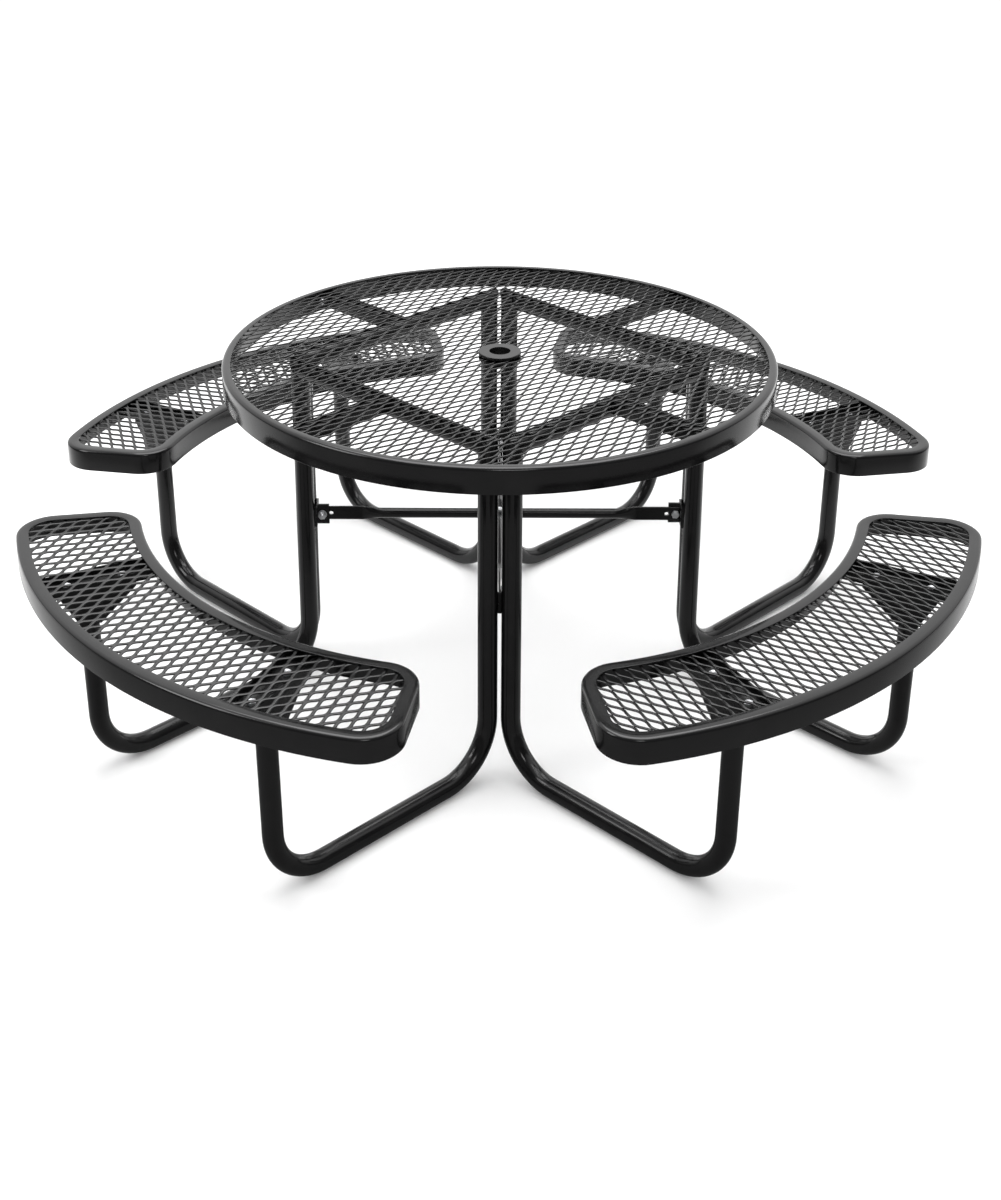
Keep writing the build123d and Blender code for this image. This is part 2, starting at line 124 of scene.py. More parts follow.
def build_wear_group() -> bpy.types.NodeTree:
    """Build the surface-wear effect that every finish shares.

    Returns:
        A shader node group.  It puts out a colour, a roughness and a height that vary with
        mottling, fine dust specks and faint scuffs, all on Object coordinates.
    """
    tree = bpy.data.node_groups.new("surface_wear", "ShaderNodeTree")
    add_input(tree, "Colour", "NodeSocketColor", (0.02, 0.02, 0.02, 1.0))
    add_input(tree, "Worn Colour", "NodeSocketColor", (0.1, 0.1, 0.1, 1.0))
    add_input(tree, "Roughness", "NodeSocketFloat", 0.3)
    add_input(tree, "Roughness Swing", "NodeSocketFloat", 0.1)
    add_input(tree, "Mottle Scale", "NodeSocketFloat", 30.0)
    add_input(tree, "Grain Scale", "NodeSocketFloat", 600.0)
    add_input(tree, "Grain Height", "NodeSocketFloat", 0.3)
    add_input(tree, "Dust Amount", "NodeSocketFloat", 0.1)
    add_output(tree, "Colour", "NodeSocketColor")
    add_output(tree, "Roughness", "NodeSocketFloat")
    add_output(tree, "Height", "NodeSocketFloat")
    enter = tree.nodes.new("NodeGroupInput")
    leave = tree.nodes.new("NodeGroupOutput")
    place = tree.nodes.new("ShaderNodeTexCoord").outputs["Object"]

    mottle = tree.nodes.new("ShaderNodeTexNoise")
    mottle.inputs["Detail"].default_value = 5.0
    link(tree, place, mottle.inputs["Vector"])
    link(tree, enter.outputs["Mottle Scale"], mottle.inputs["Scale"])
    grain = tree.nodes.new("ShaderNodeTexNoise")
    grain.inputs["Detail"].default_value = 2.0
    link(tree, place, grain.inputs["Vector"])
    link(tree, enter.outputs["Grain Scale"], grain.inputs["Scale"])
    speck = tree.nodes.new("ShaderNodeTexVoronoi")
    speck.feature = "DISTANCE_TO_EDGE"
    link(tree, place, speck.inputs["Vector"])
    link(tree, enter.outputs["Grain Scale"], speck.inputs["Scale"])

    patch = math_node(tree, "SMOOTH_MAX", math_node(tree, "SUBTRACT", mottle.outputs["Fac"], 0.52), 0.0, 0.05)
    dust = math_node(tree, "MULTIPLY", math_node(tree, "MULTIPLY", patch, 6.0), enter.outputs["Dust Amount"])
    lit = math_node(tree, "ADD", dust, math_node(tree, "MULTIPLY", grain.outputs["Fac"], 0.04))
    lit_node = lit.node
    lit_node.use_clamp = True
    blend = tree.nodes.new("ShaderNodeMix")
    blend.data_type = "RGBA"
    link(tree, lit, blend.inputs["Factor"])
    link(tree, enter.outputs["Colour"], blend.inputs[6])
    link(tree, enter.outputs["Worn Colour"], blend.inputs[7])
    link(tree, blend.outputs[2], leave.inputs["Colour"])

    swing = math_node(tree, "MULTIPLY", math_node(tree, "SUBTRACT", mottle.outputs["Fac"], 0.5),
                      enter.outputs["Roughness Swing"])
    rough = math_node(tree, "ADD", enter.outputs["Roughness"], math_node(tree, "MULTIPLY", swing, 2.0))
    rough = math_node(tree, "ADD", rough, math_node(tree, "MULTIPLY", dust, 0.5))
    link(tree, rough, leave.inputs["Roughness"])

    pits = math_node(tree, "MULTIPLY", speck.outputs["Distance"], 0.35)
    height = math_node(tree, "ADD", grain.outputs["Fac"], pits)
    height = math_node(tree, "MULTIPLY", height, enter.outputs["Grain Height"])
    broad = math_node(tree, "MULTIPLY", mottle.outputs["Fac"], 0.6)
    link(tree, math_node(tree, "ADD", height, broad), leave.inputs["Height"])
    return tree


@dataclass(frozen=True)
class Finish:
    """One finish, with its own values for the shared wear effect.

    Attributes:
        name: Material name.
        colour: Base colour, linear.
        worn: Colour of dust and scuffs.
        roughness: Middle roughness.
        swing: How far the roughness wanders either way.
        mottle: Scale of the broad mottling, per metre.
        grain: Scale of the fine grain, per metre.
        grain_height: Strength of the grain against the mottling.
        dust: Share of dust.
        metallic: 0 for coatings, 1 for bare metal.
        gloss: Specular level of the coating, 0.5 for a plain plastic.
        bump: Bump distance in metres.
    """

    name: str
    colour: tuple[float, float, float]
    worn: tuple[float, float, float]
    roughness: float
    swing: float
    mottle: float
    grain: float
    grain_height: float
    dust: float
    metallic: float
    gloss: float
    bump: float

    def build(self, wear: bpy.types.NodeTree) -> bpy.types.Material:
        """Build the material.

        Args:
            wear: The shared wear group.

        Returns:
            The finished material.
        """
        material = bpy.data.materials.new(self.name)
        material.use_nodes = True
        material.diffuse_color = (*self.colour, 1.0)
        tree = material.node_tree
        shader = tree.nodes["Principled BSDF"]
        shader.inputs["Metallic"].default_value = self.metallic
        shader.inputs["IOR"].default_value = 1.5
        shader.inputs["Specular IOR Level"].default_value = self.gloss
        effect = tree.nodes.new("ShaderNodeGroup")
        effect.node_tree = wear
        effect.inputs["Colour"].default_value = (*self.colour, 1.0)
        effect.inputs["Worn Colour"].default_value = (*self.worn, 1.0)
        effect.inputs["Roughness"].default_value = self.roughness
        effect.inputs["Roughness Swing"].default_value = self.swing
        effect.inputs["Mottle Scale"].default_value = self.mottle
        effect.inputs["Grain Scale"].default_value = self.grain
        effect.inputs["Grain Height"].default_value = self.grain_height
        effect.inputs["Dust Amount"].default_value = self.dust
        bump = tree.nodes.new("ShaderNodeBump")
        bump.inputs["Strength"].default_value = 0.5
        bump.inputs["Distance"].default_value = self.bump
        link(tree, effect.outputs["Height"], bump.inputs["Height"])
        link(tree, bump.outputs["Normal"], shader.inputs["Normal"])
        link(tree, effect.outputs["Colour"], shader.inputs["Base Color"])
        link(tree, effect.outputs["Roughness"], shader.inputs["Roughness"])
        return material


TUBE_COATING = Finish("tube_coating", (0.0040, 0.0040, 0.0043), (0.060, 0.058, 0.055), 0.15, 0.05,
                      26.0, 420.0, 0.20, 0.04, 0.0, 0.45, 0.0004)
RIM_COATING = Finish("rim_coating", (0.0045, 0.0045, 0.0048), (0.070, 0.068, 0.065), 0.13, 0.05,
                     18.0, 380.0, 0.25, 0.04, 0.0, 0.48, 0.0004)
SHEET_COATING = Finish("sheet_coating", (0.0050, 0.0050, 0.0053), (0.070, 0.068, 0.066), 0.18, 0.06,
                       40.0, 500.0, 0.30, 0.04, 0.0, 0.48, 0.0004)
PLATE_COATING = Finish("plate_coating", (0.0040, 0.0040, 0.0043), (0.060, 0.058, 0.056), 0.26, 0.06,
                       32.0, 450.0, 0.30, 0.06, 0.0, 0.34, 0.0006)
WELD_COATING = Finish("weld_coating", (0.0040, 0.0040, 0.0042), (0.055, 0.053, 0.050), 0.28, 0.08,
                      60.0, 700.0, 0.50, 0.06, 0.0, 0.34, 0.0008)
ZINC_PLATE = Finish("zinc_plate", (0.80, 0.81, 0.83), (0.45, 0.44, 0.42), 0.44, 0.12,
                    90.0, 900.0, 0.30, 0.25, 1.0, 0.5, 0.0003)


# ---------------------------------------------------------------- mesh helpers


def new_object(name: str, mesh: bpy.types.Mesh) -> bpy.types.Object:
    """Make an object at the origin from a mesh and put it in the scene."""
    made = bpy.data.objects.new(name, mesh)
    bpy.context.scene.collection.objects.link(made)
    return made


def apply_tree(
    source: bpy.types.Object, tree: bpy.types.NodeTree, values: dict[str, object], name: str
) -> bpy.types.Object:
    """Run a Geometry Nodes tree on an object and keep its result as a plain mesh.

    Args:
        source: Object that the tree works on.  It is removed at the end.
        tree: The node tree.
        values: Input values by socket identifier.
        name: Name of the finished piece.

    Returns:
        The finished object, with no modifier left.
    """
    modifier = source.modifiers.new("build", "NODES")
    modifier.node_group = tree
    for identifier, value in values.items():
        modifier[identifier] = value
    graph = bpy.context.evaluated_depsgraph_get()
    mesh = bpy.data.meshes.new_from_object(source.evaluated_get(graph))
    source.modifiers.remove(modifier)
    old = source.data
    bpy.data.objects.remove(source)
    if old.users == 0 and isinstance(old, bpy.types.Mesh):
        bpy.data.meshes.remove(old)
    mesh.name = name
    return new_object(name, mesh)


def finish_piece(piece: bpy.types.Object, nodes: Sequence[str] = ()) -> None:
    """Hand a finished piece to the frame and report it.

    Args:
        piece: The piece, at the origin with its place in its mesh.
        nodes: CAD nodes it stands for.
    """
    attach(piece, BODY)
    if nodes:
        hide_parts(*nodes)
    LOG.info("%s: %d faces, stands for %s", piece.name, len(piece.data.polygons), list(nodes) or "no node")


def turned(point: Sequence[float], angle: float) -> Vector:
    """Turn a point about the vertical axis by an angle in degrees."""
    return Matrix.Rotation(math.radians(angle), 3, "Z") @ Vector(point)


def vertex_mesh(name: str, points: Iterable[Vector], outward: Iterable[Vector]) -> bpy.types.Mesh:
    """Make a mesh of loose vertices that carry a direction each.

    Args:
        name: Mesh name.
        points: Places.
        outward: Direction of each point's own Z axis, stored as the attribute "facing".

    Returns:
        The mesh.
    """
    mesh = bpy.data.meshes.new(name)
    places = [tuple(p) for p in points]
    mesh.from_pydata(places, [], [])
    facing = mesh.attributes.new("facing", "FLOAT_VECTOR", "POINT")
    for item, direction in zip(facing.data, outward):
        item.vector = direction
    return mesh


# ---------------------------------------------------------------- outlines


def ring_points(radius: float, steps: int) -> list[tuple[float, float]]:
    """Points evenly round a circle about the vertical axis."""
    turn = math.tau / steps
    return [(radius * math.cos(i * turn), radius * math.sin(i * turn)) for i in range(steps)]


@dataclass(frozen=True)
class BenchOutline:
    """Outline of a bench on the +X side, seen from above.

    Attributes:
        inner: Radius of the inner edge.
        outer: Radius of the outer edge.
        span: Angle between the two ends, in degrees.
        corner: Corner radius.
    """

    inner: float = 768.0 * MM
    outer: float = 1022.0 * MM
    span: float = 70.4
    corner: float = 75.0 * MM

    def corner_arc(self, inset: float, sign: float, side: float) -> list[tuple[float, float]]:
        """Rounded corner.

        Args:
            inset: Distance inside the outline.
            sign: 1 for the inner edge, -1 for the outer edge.
            side: 1 for the end on the left, -1 for the end on the right.

        Returns:
            Points from the curved edge to the straight end.
        """
        half = math.radians(self.span / 2)
        corner = self.corner - inset
        centre_radius = (self.inner if sign > 0 else self.outer) + sign * self.corner
        angle = half - math.asin(self.corner / centre_radius)
        centre = Vector((centre_radius * math.cos(angle), centre_radius * math.sin(angle)))
        start = angle if sign < 0 else angle + math.pi
        stop = half + math.pi / 2
        points = []
        for i in range(13):
            a = start + (stop - start) * i / 12
            points.append((centre.x + corner * math.cos(a), side * (centre.y + corner * math.sin(a))))
        return points

    def edge(self, a: tuple[float, float], b: tuple[float, float], count: int) -> list[tuple[float, float]]:
        """Points on the circular edge between two corner points, ends left out."""
        radius = math.hypot(*a)
        first, last = math.atan2(a[1], a[0]), math.atan2(b[1], b[0])
        angles = [first + (last - first) * i / count for i in range(1, count)]
        return [(radius * math.cos(t), radius * math.sin(t)) for t in angles]

    def points(self, inset: float, count: int = 56) -> list[tuple[float, float]]:
        """Outline moved inward, with the same number of points at every inset.

        Args:
            inset: Distance moved inward.
            count: Steps along each curved edge.

        Returns:
            Points in order round the bench, from the left end of the inner edge.
        """
        outer_left, outer_right = self.corner_arc(inset, -1, 1), self.corner_arc(inset, -1, -1)
        inner_left, inner_right = self.corner_arc(inset, 1, 1), self.corner_arc(inset, 1, -1)
        return (inner_left[::-1] + self.edge(inner_left[0], inner_right[0], count) + inner_right
                + outer_right[::-1] + self.edge(outer_right[0], outer_left[0], count) + outer_left)


# ---------------------------------------------------------------- expanded metal


def build_sheet_tree() -> tuple[bpy.types.NodeTree, dict[str, str]]:
    """Build the tree that fills a flat outline with expanded metal.

    Each strand is a zigzag that runs along the long pitch and touches its neighbours at the
    bonds.  It rises a little from one bond to the next and leans about its own length.

    Returns:
        The tree, and the identifiers of its inputs by name.
    """
    tree = bpy.data.node_groups.new("expanded_metal", "GeometryNodeTree")
    ids = {"Geometry": add_input(tree, "Geometry", "NodeSocketGeometry")}
    for name, kind in (
        ("Long Pitch", "NodeSocketFloat"), ("Short Pitch", "NodeSocketFloat"), ("Strand Width", "NodeSocketFloat"),
        ("Strand Thickness", "NodeSocketFloat"), ("Bond Half", "NodeSocketFloat"), ("Rise", "NodeSocketFloat"),
        ("Lean", "NodeSocketFloat"), ("Lattice Turn", "NodeSocketFloat"), ("Field Half", "NodeSocketFloat"),
        ("Field Centre", "NodeSocketVector"), ("Hole Radius", "NodeSocketFloat"), ("Material", "NodeSocketMaterial"),
    ):
        ids[name] = add_input(tree, name, kind)
    add_output(tree, "Geometry", "NodeSocketGeometry")
    nodes = tree.nodes
    enter, leave = nodes.new("NodeGroupInput"), nodes.new("NodeGroupOutput")
    value: Callable[[str], bpy.types.NodeSocket] = lambda name: enter.outputs[name]

    # A field of straight lines along X, one for each half pitch of Y.
    step_x = math_node(tree, "DIVIDE", value("Long Pitch"), 8.0)
    step_y = math_node(tree, "DIVIDE", value("Short Pitch"), 2.0)
    half_x = math_node(tree, "CEIL", math_node(tree, "DIVIDE", value("Field Half"), step_x))
    half_y = math_node(tree, "CEIL", math_node(tree, "DIVIDE", value("Field Half"), step_y))
    count_x = math_node(tree, "MULTIPLY_ADD", half_x, 2.0, 1.0)
    count_y = math_node(tree, "MULTIPLY_ADD", half_y, 2.0, 1.0)

    def line(count: bpy.types.NodeSocket, half: bpy.types.NodeSocket, step: bpy.types.NodeSocket,
             axis: int) -> bpy.types.NodeSocket:
        """Mesh line centred on the origin along X (axis 0) or Y (axis 1)."""
        made = nodes.new("GeometryNodeMeshLine")
        start, offset = nodes.new("ShaderNodeCombineXYZ"), nodes.new("ShaderNodeCombineXYZ")
        link(tree, math_node(tree, "MULTIPLY", math_node(tree, "MULTIPLY", half, step), -1.0), start.inputs[axis])
        link(tree, step, offset.inputs[axis])
        link(tree, count, made.inputs["Count"])
        link(tree, start.outputs[0], made.inputs["Start Location"])
        link(tree, offset.outputs[0], made.inputs["Offset"])
        return made.outputs["Mesh"]

    rows = nodes.new("GeometryNodeInstanceOnPoints")
    link(tree, line(count_y, half_y, step_y, 1), rows.inputs["Points"])
    link(tree, line(count_x, half_x, step_x, 0), rows.inputs["Instance"])
    field_of_lines = nodes.new("GeometryNodeRealizeInstances")
    link(tree, rows.outputs["Instances"], field_of_lines.inputs["Geometry"])

    # The zigzag: up is 0 at a low bond and 1 at a high bond, with a flat at each bond.
    place = nodes.new("ShaderNodeSeparateXYZ")
    link(tree, nodes.new("GeometryNodeInputPosition").outputs[0], place.inputs[0])
    row = math_node(tree, "ROUND", math_node(tree, "DIVIDE", place.outputs["Y"], step_y))
    odd = math_node(tree, "FLOORED_MODULO", row, 2.0)
    shifted = math_node(tree, "MULTIPLY_ADD", odd, math_node(tree, "MULTIPLY", value("Long Pitch"), 0.5),
                        place.outputs["X"])
    fold = math_node(tree, "PINGPONG", shifted, math_node(tree, "MULTIPLY", value("Long Pitch"), 0.5))
    slope_length = math_node(tree, "SUBTRACT", math_node(tree, "MULTIPLY", value("Long Pitch"), 0.5),
                             math_node(tree, "MULTIPLY", value("Bond Half"), 2.0))
    ramp = math_node(tree, "DIVIDE", math_node(tree, "SUBTRACT", fold, value("Bond Half")), slope_length)
    ramp.node.use_clamp = True
    reach = math_node(tree, "SUBTRACT", step_y, math_node(tree, "MULTIPLY", value("Strand Width"), 0.86))
    middle = math_node(tree, "SUBTRACT", ramp, 0.5)
    shift = nodes.new("ShaderNodeCombineXYZ")
    link(tree, math_node(tree, "MULTIPLY_ADD", middle, reach, math_node(tree, "MULTIPLY", step_y, 0.5)),
         shift.inputs["Y"])
    link(tree, math_node(tree, "MULTIPLY", middle, math_node(tree, "MULTIPLY", value("Rise"), -2.0)),
         shift.inputs["Z"])
    zigzag = nodes.new("GeometryNodeSetPosition")
    link(tree, field_of_lines.outputs[0], zigzag.inputs["Geometry"])
    link(tree, shift.outputs[0], zigzag.inputs["Offset"])

    placed = nodes.new("GeometryNodeTransform")
    turn = nodes.new("ShaderNodeCombineXYZ")
    link(tree, value("Lattice Turn"), turn.inputs["Z"])
    link(tree, zigzag.outputs[0], placed.inputs["Geometry"])
    link(tree, value("Field Centre"), placed.inputs["Translation"])
    link(tree, turn.outputs[0], placed.inputs["Rotation"])

    # Keep what lies inside the outline, and clear of the hole where there is one.
    at = nodes.new("GeometryNodeInputPosition").outputs[0]
    level = nodes.new("ShaderNodeSeparateXYZ")
    link(tree, value("Field Centre"), level.inputs[0])
    split = nodes.new("ShaderNodeSeparateXYZ")
    link(tree, at, split.inputs[0])
    flat = nodes.new("ShaderNodeCombineXYZ")
    link(tree, split.outputs["X"], flat.inputs["X"])
    link(tree, split.outputs["Y"], flat.inputs["Y"])
    link(tree, level.outputs["Z"], flat.inputs["Z"])
    near = nodes.new("GeometryNodeProximity")
    near.target_element = "FACES"
    link(tree, value("Geometry"), near.inputs["Geometry"])
    link(tree, flat.outputs[0], near.inputs["Sample Position"])
    outside = math_node(tree, "GREATER_THAN", near.outputs["Distance"], 0.0001)
    squares = math_node(tree, "ADD", math_node(tree, "MULTIPLY", split.outputs["X"], split.outputs["X"]),
                        math_node(tree, "MULTIPLY", split.outputs["Y"], split.outputs["Y"]))
    in_hole = math_node(tree, "LESS_THAN", math_node(tree, "SQRT", squares), value("Hole Radius"))
    gone = math_node(tree, "MAXIMUM", outside, in_hole)
    trim = nodes.new("GeometryNodeDeleteGeometry")
    trim.domain = "POINT"
    link(tree, placed.outputs[0], trim.inputs["Geometry"])
    link(tree, gone, trim.inputs["Selection"])

    # Sweep a rounded strand section along every zigzag.
    curves = nodes.new("GeometryNodeMeshToCurve")
    link(tree, trim.outputs[0], curves.inputs["Mesh"])
    upright = nodes.new("GeometryNodeSetCurveNormal")
    upright.mode = "Z_UP"
    link(tree, curves.outputs[0], upright.inputs["Curve"])
    tilted = nodes.new("GeometryNodeSetCurveTilt")
    link(tree, upright.outputs[0], tilted.inputs["Curve"])
    link(tree, value("Lean"), tilted.inputs["Tilt"])
    box = nodes.new("GeometryNodeCurvePrimitiveQuadrilateral")
    link(tree, value("Strand Width"), box.inputs["Width"])
    link(tree, value("Strand Thickness"), box.inputs["Height"])
    rounded = nodes.new("GeometryNodeFilletCurve")
    rounded.mode = "POLY"
    link(tree, box.outputs[0], rounded.inputs["Curve"])
    link(tree, math_node(tree, "MULTIPLY", value("Strand Thickness"), 0.34), rounded.inputs["Radius"])
    swept = nodes.new("GeometryNodeCurveToMesh")
    swept.inputs["Fill Caps"].default_value = True
    link(tree, tilted.outputs[0], swept.inputs["Curve"])
    link(tree, rounded.outputs[0], swept.inputs["Profile Curve"])
    smooth = nodes.new("GeometryNodeSetShadeSmooth")
    link(tree, swept.outputs[0], smooth.inputs["Geometry"])
    solid = nodes.new("GeometryNodeRealizeInstances")
    link(tree, smooth.outputs[0], solid.inputs["Geometry"])
    painted = nodes.new("GeometryNodeSetMaterial")
    link(tree, solid.outputs[0], painted.inputs["Geometry"])
    link(tree, value("Material"), painted.inputs["Material"])
    link(tree, painted.outputs[0], leave.inputs[0])
    return tree, ids


@dataclass
class ExpandedSheets:
    """Table sheet and bench sheets of expanded metal, dipped in the same coating.

    Attributes:
        long_pitch: Bond to bond along the strands.
        short_pitch: Bond to bond across them.
        strand_width: Width of a coated strand.
        strand_thickness: Thickness of a coated strand.
        bond_half: Half the flat length of a bond.
        rise: Height from mid-sheet to a bond's centre line.
        table_lean: Lean of the table sheet's strands about their length, in degrees.
        bench_lean: The same for the bench sheets.
        table_radius: Radius that the table sheet reaches inside the rim.
        collar_clear: Radius inside which the table sheet is cut away.
        bench_inset: Distance of a bench sheet's edge from the bench's outline.
    """

    long_pitch: float = 50.4 * MM
    short_pitch: float = 29.0 * MM
    strand_width: float = 6.2 * MM
    strand_thickness: float = 3.2 * MM
    bond_half: float = 3.6 * MM
    rise: float = 0.7 * MM
    table_lean: float = -18.0
    bench_lean: float = -10.0
    table_radius: float = 578.0 * MM
    collar_clear: float = 30.0 * MM
    bench_inset: float = 5.0 * MM

    def build_one(
        self, name: str, node: str, outline: list[tuple[float, float]], turn: float, lattice: float,
        lean: float, hole: float, kit: tuple[bpy.types.NodeTree, dict[str, str]], material: bpy.types.Material,
    ) -> None:
        """Fill one outline with expanded metal.

        Args:
            name: Piece name.
            node: CAD node that it stands for, which gives its height.
            outline: Outline before it is turned.
            turn: Angle of the outline about the vertical axis, in degrees.
            lattice: Direction of the long pitch, in degrees.
            lean: Lean of the strands, in degrees.
            hole: Radius cut away round the vertical axis.
            kit: The tree and its input identifiers.
            material: The sheet's material.
        """
        tree, ids = kit
        low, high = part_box(node)
        middle = (low + high) / 2
        mesh = bpy.data.meshes.new(name + "_outline")
        places = [turned((x, y, 0), turn) + Vector((0, 0, middle.z)) for x, y in outline]
        count = len(places)
        strips = [(i, i + 1, count - 2 - i, count - 1 - i) for i in range(count // 2 - 1)]
        mesh.from_pydata([tuple(p) for p in places], [], strips)
        values = {
            ids["Long Pitch"]: self.long_pitch, ids["Short Pitch"]: self.short_pitch,
            ids["Strand Width"]: self.strand_width, ids["Strand Thickness"]: self.strand_thickness,
            ids["Bond Half"]: self.bond_half, ids["Rise"]: self.rise, ids["Lean"]: math.radians(lean),
            ids["Lattice Turn"]: math.radians(lattice), ids["Field Half"]: (high - low).xy.length * 0.52,
            ids["Field Centre"]: tuple(middle), ids["Hole Radius"]: hole, ids["Material"]: material,
        }
        piece = apply_tree(new_object(name + "_outline", mesh), tree, values, name)
        finish_piece(piece, [node])

    def build(self, material: bpy.types.Material) -> None:
        """Build the table sheet and the four bench sheets."""
        kit = build_sheet_tree()
        self.build_one("table_sheet", "table_mesh", ring_points(self.table_radius, 180), 0.0, 45.0,
                       self.table_lean, self.collar_clear, kit, material)
        outline = BenchOutline().points(self.bench_inset)
        for corner, angle in CORNERS.items():
            self.build_one(f"bench_sheet_{corner}", f"bench_mesh_{corner}", outline, angle, angle,
                           self.bench_lean, 0.0, kit, material)


# ---------------------------------------------------------------- rolled rims


@dataclass
class RolledRims:
    """Rolled sheet rims: an upright wall, a round shoulder and a flat lip turned inward.

    Attributes:
        sheet: Thickness of the rim.
        shoulder: Outer radius of the shoulder.
        edge: Radius that the coating leaves on the sheet's cut edges.
        table_radius: Radius of the table.
        table_depth: Depth of the table rim.
        table_lip: Width of the table's lip.
        bench_depth: Depth of a bench rim.
        bench_lip: Width of a bench's lip.
        arc_steps: Steps round the shoulder.
    """

    sheet: float = 3.0 * MM
    shoulder: float = 8.0 * MM
    edge: float = 0.9 * MM
    table_radius: float = 584.0 * MM
    table_depth: float = 54.0 * MM
    table_lip: float = 18.0 * MM
    bench_depth: float = 50.0 * MM
    bench_lip: float = 26.0 * MM
    arc_steps: int = 8

    def arc(self, across: float, down: float, radius: float, start: float, stop: float, steps: int
            ) -> list[tuple[float, float]]:
        """Arc in the section.

        Args:
            across: The centre's distance inward.
            down: The centre's distance below the top.
            radius: Its radius.
            start: First angle in degrees, 0 pointing inward and 90 upward.
            stop: Last angle in degrees.
            steps: Number of steps.

        Returns:
            Points as distance inward and distance below the top.
        """
        angles = [math.radians(start + (stop - start) * i / steps) for i in range(steps + 1)]
        return [(across + radius * math.cos(a), down - radius * math.sin(a)) for a in angles]

    def section(self, lip: float, depth: float) -> list[tuple[float, float]]:
        """Closed section of a rim, from its foot over the shoulder to the lip and back."""
        sheet, edge, shoulder = self.sheet, self.edge, self.shoulder
        return (self.arc(edge, depth - edge, edge, 270, 180, 3)
                + self.arc(shoulder, shoulder, shoulder, 180, 90, self.arc_steps)
                + self.arc(lip - edge, edge, edge, 90, 0, 3)
                + self.arc(lip - edge, sheet - edge, edge, 0, -90, 3)
                + self.arc(shoulder, shoulder, shoulder - sheet, 90, 180, self.arc_steps)
                + self.arc(sheet - edge, depth - edge, edge, 0, -90, 3))

    def sweep(self, name: str, node: str, rings: Sequence[Sequence[Vector]], material: bpy.types.Material) -> None:
        """Join rings of points, one for each point of the section, into a closed mesh.

        Args:
            name: Piece name.
            node: CAD node that it stands for.
            rings: Rings with the same number of points each.
            material: The rim's material.
        """
        count = len(rings[0])
        verts = [tuple(point) for ring in rings for point in ring]
        faces = []
        for i in range(len(rings)):
            here, there = i * count, (i + 1) % len(rings) * count
            for j in range(count):
                k = (j + 1) % count
                faces.append((here + j, here + k, there + k, there + j))
        mesh = bpy.data.meshes.new(name)
        mesh.from_pydata(verts, [], faces)
        bm = bmesh.new()
        bm.from_mesh(mesh)
        bmesh.ops.recalc_face_normals(bm, faces=bm.faces)
        bm.to_mesh(mesh)
        bm.free()
        mesh.shade_smooth()
        mesh.set_sharp_from_angle(angle=math.radians(40))
        mesh.materials.append(material)
        finish_piece(new_object(name, mesh), [node])

    def build(self, material: bpy.types.Material) -> None:
        """Build the table rim and the four bench rims at their nodes' heights."""
        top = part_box("table_rim")[1].z
        rings = [[Vector((x, y, top - down)) for x, y in ring_points(self.table_radius - inset, 288)]
                 for inset, down in self.section(self.table_lip, self.table_depth)]
        self.sweep("table_rolled_rim", "table_rim", rings, material)
        outline = BenchOutline()
        for corner, angle in CORNERS.items():
            node = f"bench_rim_{corner}"
            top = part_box(node)[1].z
            rings = [[turned((x, y, top - down), angle) for x, y in outline.points(inset)]
                     for inset, down in self.section(self.bench_lip, self.bench_depth)]
            self.sweep(f"bench_rolled_rim_{corner}", node, rings, material)


# ---------------------------------------------------------------- fasteners


def build_scatter_tree() -> tuple[bpy.types.NodeTree, dict[str, str]]:
    """Build the tree that puts one model on every point, along the point's facing.

    Returns:
        The tree, and the identifiers of its inputs by name.
    """
    tree = bpy.data.node_groups.new("fastener_set", "GeometryNodeTree")
    ids = {"Geometry": add_input(tree, "Geometry", "NodeSocketGeometry")}
    ids["Model"] = add_input(tree, "Model", "NodeSocketObject")
    ids["Spin Seed"] = add_input(tree, "Spin Seed", "NodeSocketInt", 3)
    ids["Material"] = add_input(tree, "Material", "NodeSocketMaterial")
    add_output(tree, "Geometry", "NodeSocketGeometry")
    nodes = tree.nodes
    enter, leave = nodes.new("NodeGroupInput"), nodes.new("NodeGroupOutput")
    model = nodes.new("GeometryNodeObjectInfo")
    link(tree, enter.outputs["Model"], model.inputs["Object"])
    facing = nodes.new("GeometryNodeInputNamedAttribute")
    facing.data_type = "FLOAT_VECTOR"
    facing.inputs["Name"].default_value = "facing"
    aim = nodes.new("FunctionNodeAlignRotationToVector")
    aim.axis = "Z"
    link(tree, facing.outputs["Attribute"], aim.inputs["Vector"])
    spin = nodes.new("FunctionNodeRandomValue")
    spin.data_type = "FLOAT"
    spin.inputs[3].default_value = math.tau
    link(tree, enter.outputs["Spin Seed"], spin.inputs["Seed"])
    about = nodes.new("ShaderNodeCombineXYZ")
    link(tree, spin.outputs[1], about.inputs["Z"])
    turn = nodes.new("FunctionNodeRotateRotation")
    turn.rotation_space = "LOCAL"
    link(tree, aim.outputs["Rotation"], turn.inputs["Rotation"])
    link(tree, about.outputs[0], turn.inputs["Rotate By"])
    put = nodes.new("GeometryNodeInstanceOnPoints")
    link(tree, enter.outputs["Geometry"], put.inputs["Points"])
    link(tree, model.outputs["Geometry"], put.inputs["Instance"])
    link(tree, turn.outputs[0], put.inputs["Rotation"])
    solid = nodes.new("GeometryNodeRealizeInstances")
    link(tree, put.outputs[0], solid.inputs["Geometry"])
    painted = nodes.new("GeometryNodeSetMaterial")
    link(tree, solid.outputs[0], painted.inputs["Geometry"])
    link(tree, enter.outputs["Material"], painted.inputs["Material"])
    link(tree, painted.outputs[0], leave.inputs[0])
    return tree, ids


